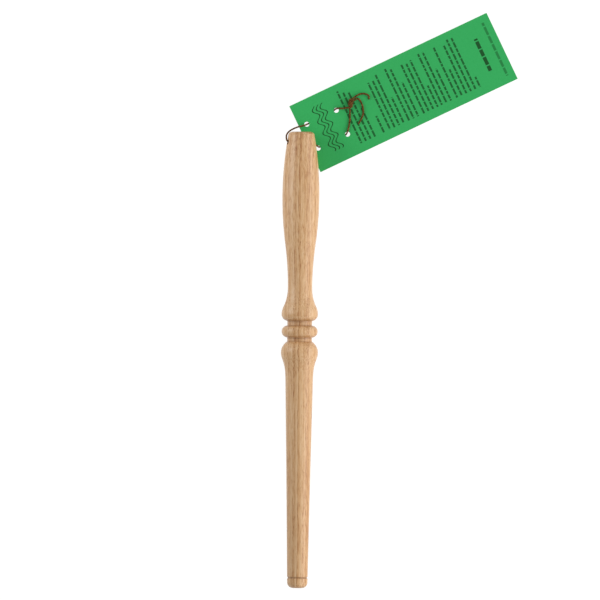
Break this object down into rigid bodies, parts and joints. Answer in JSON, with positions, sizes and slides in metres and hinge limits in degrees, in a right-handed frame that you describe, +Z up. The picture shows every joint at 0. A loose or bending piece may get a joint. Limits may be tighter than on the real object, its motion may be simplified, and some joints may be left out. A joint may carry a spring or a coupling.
{
  "type": "nostepinne",
  "caption": "Turned wooden nostepinne, a hand stick for winding yarn into balls, with a beaded middle and a card hang tag laced to its handle by a knotted twine.",
  "frame": {"origin": "on the surface that the stick lies on, straight under the middle of its length", "axes": "+Y along the stick's axis towards the handle's butt end, -Y towards the tip, +Z up from the surface, +X towards the side that the tag lies on"},
  "size_m": [0.1438, 0.3541, 0.0227],
  "materials": {
    "turned_wood": "bare fine-sanded hardwood, end to end grain with fine darker streaks",
    "green_card": "green printed card, matte to slight sheen",
    "brown_twine": "two-ply twisted brown twine, dull"
  },
  "bodies": {
    "stick": {"turned_stick": "turned_wood"},
    "cord": {"cord_loop": "brown_twine"},
    "tag": {"hang_tag": "green_card", "cord_lacing": "brown_twine", "cord_knot": "brown_twine", "cord_tails": "brown_twine"}
  },
  "joints": [
    {"name": "loop_swing", "type": "hinge", "parent": "stick", "child": "cord", "pos_m": [0, 0.1335, 0.01135], "axis": [0.9511, 0, -0.309], "range_deg": [0, 135]},
    {"name": "tag_flap", "type": "hinge", "parent": "cord", "child": "tag", "pos_m": [0.00301, 0.1445, 0.00147], "axis": [0.4827, -0.8758, -0.0005], "range_deg": [0, 45]}
  ]
}
